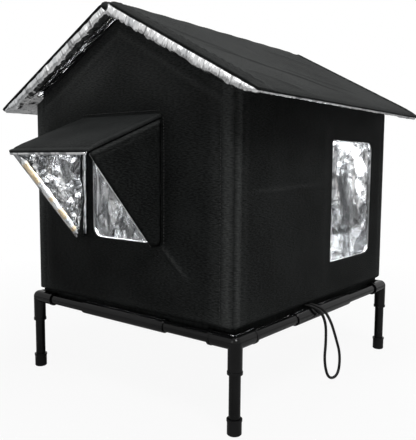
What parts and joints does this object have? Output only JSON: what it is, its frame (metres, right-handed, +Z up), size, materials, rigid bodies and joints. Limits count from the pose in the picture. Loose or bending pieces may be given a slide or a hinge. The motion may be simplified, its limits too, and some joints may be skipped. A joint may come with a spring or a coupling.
{
  "type": "cat house",
  "caption": "Padded fabric cat house with a pitched roof, a hooded door, a side window and foil lining, on a low stand of push-fit black tubes.",
  "frame": {"origin": "on the floor under the middle of the whole object, hood and roof included", "axes": "+Z up, -Y towards the hooded door, +X towards the side window; the feet stand on z = 0"},
  "size_m": [0.5324, 0.646, 0.5911],
  "materials": {
    "steel_black": "black powder coat, satin",
    "moulded_black": "injection moulded, glossy",
    "rubber_black": "matt rubber",
    "oxford_black": "coated twill cloth over padding",
    "foil": "crinkled metallised film on foam",
    "webbing_black": "woven elastic webbing",
    "hook_and_loop": "black hook-and-loop tape"
  },
  "bodies": {
    "stand": {"corner_connector_front_left": "moulded_black", "leg_tube_front_left": "steel_black", "foot_cap_front_left": "rubber_black", "corner_connector_front_right": "moulded_black", "leg_tube_front_right": "steel_black", "foot_cap_front_right": "rubber_black", "corner_connector_back_left": "moulded_black", "leg_tube_back_left": "steel_black", "foot_cap_back_left": "rubber_black", "corner_connector_back_right": "moulded_black", "leg_tube_back_right": "steel_black", "foot_cap_back_right": "rubber_black", "rail_sleeve_front": "steel_black", "rail_tube_front_left": "steel_black", "rail_tube_front_right": "steel_black", "rail_sleeve_back": "steel_black", "rail_tube_back_left": "steel_black", "rail_tube_back_right": "steel_black", "rail_sleeve_left": "steel_black", "rail_tube_left_front": "steel_black", "rail_tube_left_back": "steel_black", "rail_sleeve_right": "steel_black", "rail_tube_right_front": "steel_black", "rail_tube_right_back": "steel_black"},
    "cabin": {"front_wall": "oxford_black", "front_lining": "foil", "back_wall": "oxford_black", "back_lining": "foil", "left_wall": "oxford_black", "left_lining": "foil", "right_wall": "oxford_black", "right_lining": "foil", "floor_panel": "oxford_black", "floor_lining": "foil", "roof_strip_front_left": "hook_and_loop", "roof_strip_front_right": "hook_and_loop", "roof_strip_back_left": "hook_and_loop", "roof_strip_back_right": "hook_and_loop", "roof_strip_left": "hook_and_loop", "roof_strip_right": "hook_and_loop", "awning_gusset_left": "oxford_black", "awning_gusset_right": "oxford_black", "strap_loop": "webbing_black"},
    "roof": {"roof_ridge": "oxford_black"},
    "roof_left": {"roof_cover_left": "oxford_black", "roof_pad_left": "foil"},
    "roof_right": {"roof_cover_right": "oxford_black", "roof_pad_right": "foil"},
    "awning": {"awning_cover": "oxford_black", "awning_lining": "foil"}
  },
  "joints": [
    {"name": "cabin_lift", "type": "slide", "parent": "stand", "child": "cabin", "axis": [0, 0, 1], "range_m": [0, 0.14]},
    {"name": "roof_lift", "type": "slide", "parent": "cabin", "child": "roof", "axis": [0, 0, 1], "range_m": [0, 0.16]},
    {"name": "roof_left_fold", "type": "hinge", "parent": "roof", "child": "roof_left", "pos_m": [0, 0.0549, 0.58264], "axis": [0, 1, 0], "range_deg": [0, 65]},
    {"name": "roof_right_fold", "type": "hinge", "parent": "roof", "child": "roof_right", "pos_m": [0, 0.0549, 0.58264], "axis": [0, -1, 0], "range_deg": [0, 65]},
    {"name": "awning_fold", "type": "hinge", "parent": "cabin", "child": "awning", "pos_m": [0, -0.19135, 0.424], "axis": [1, 0, 0], "range_deg": [0, 60], "deforming": ["awning_gusset_left", "awning_gusset_right"]}
  ]
}
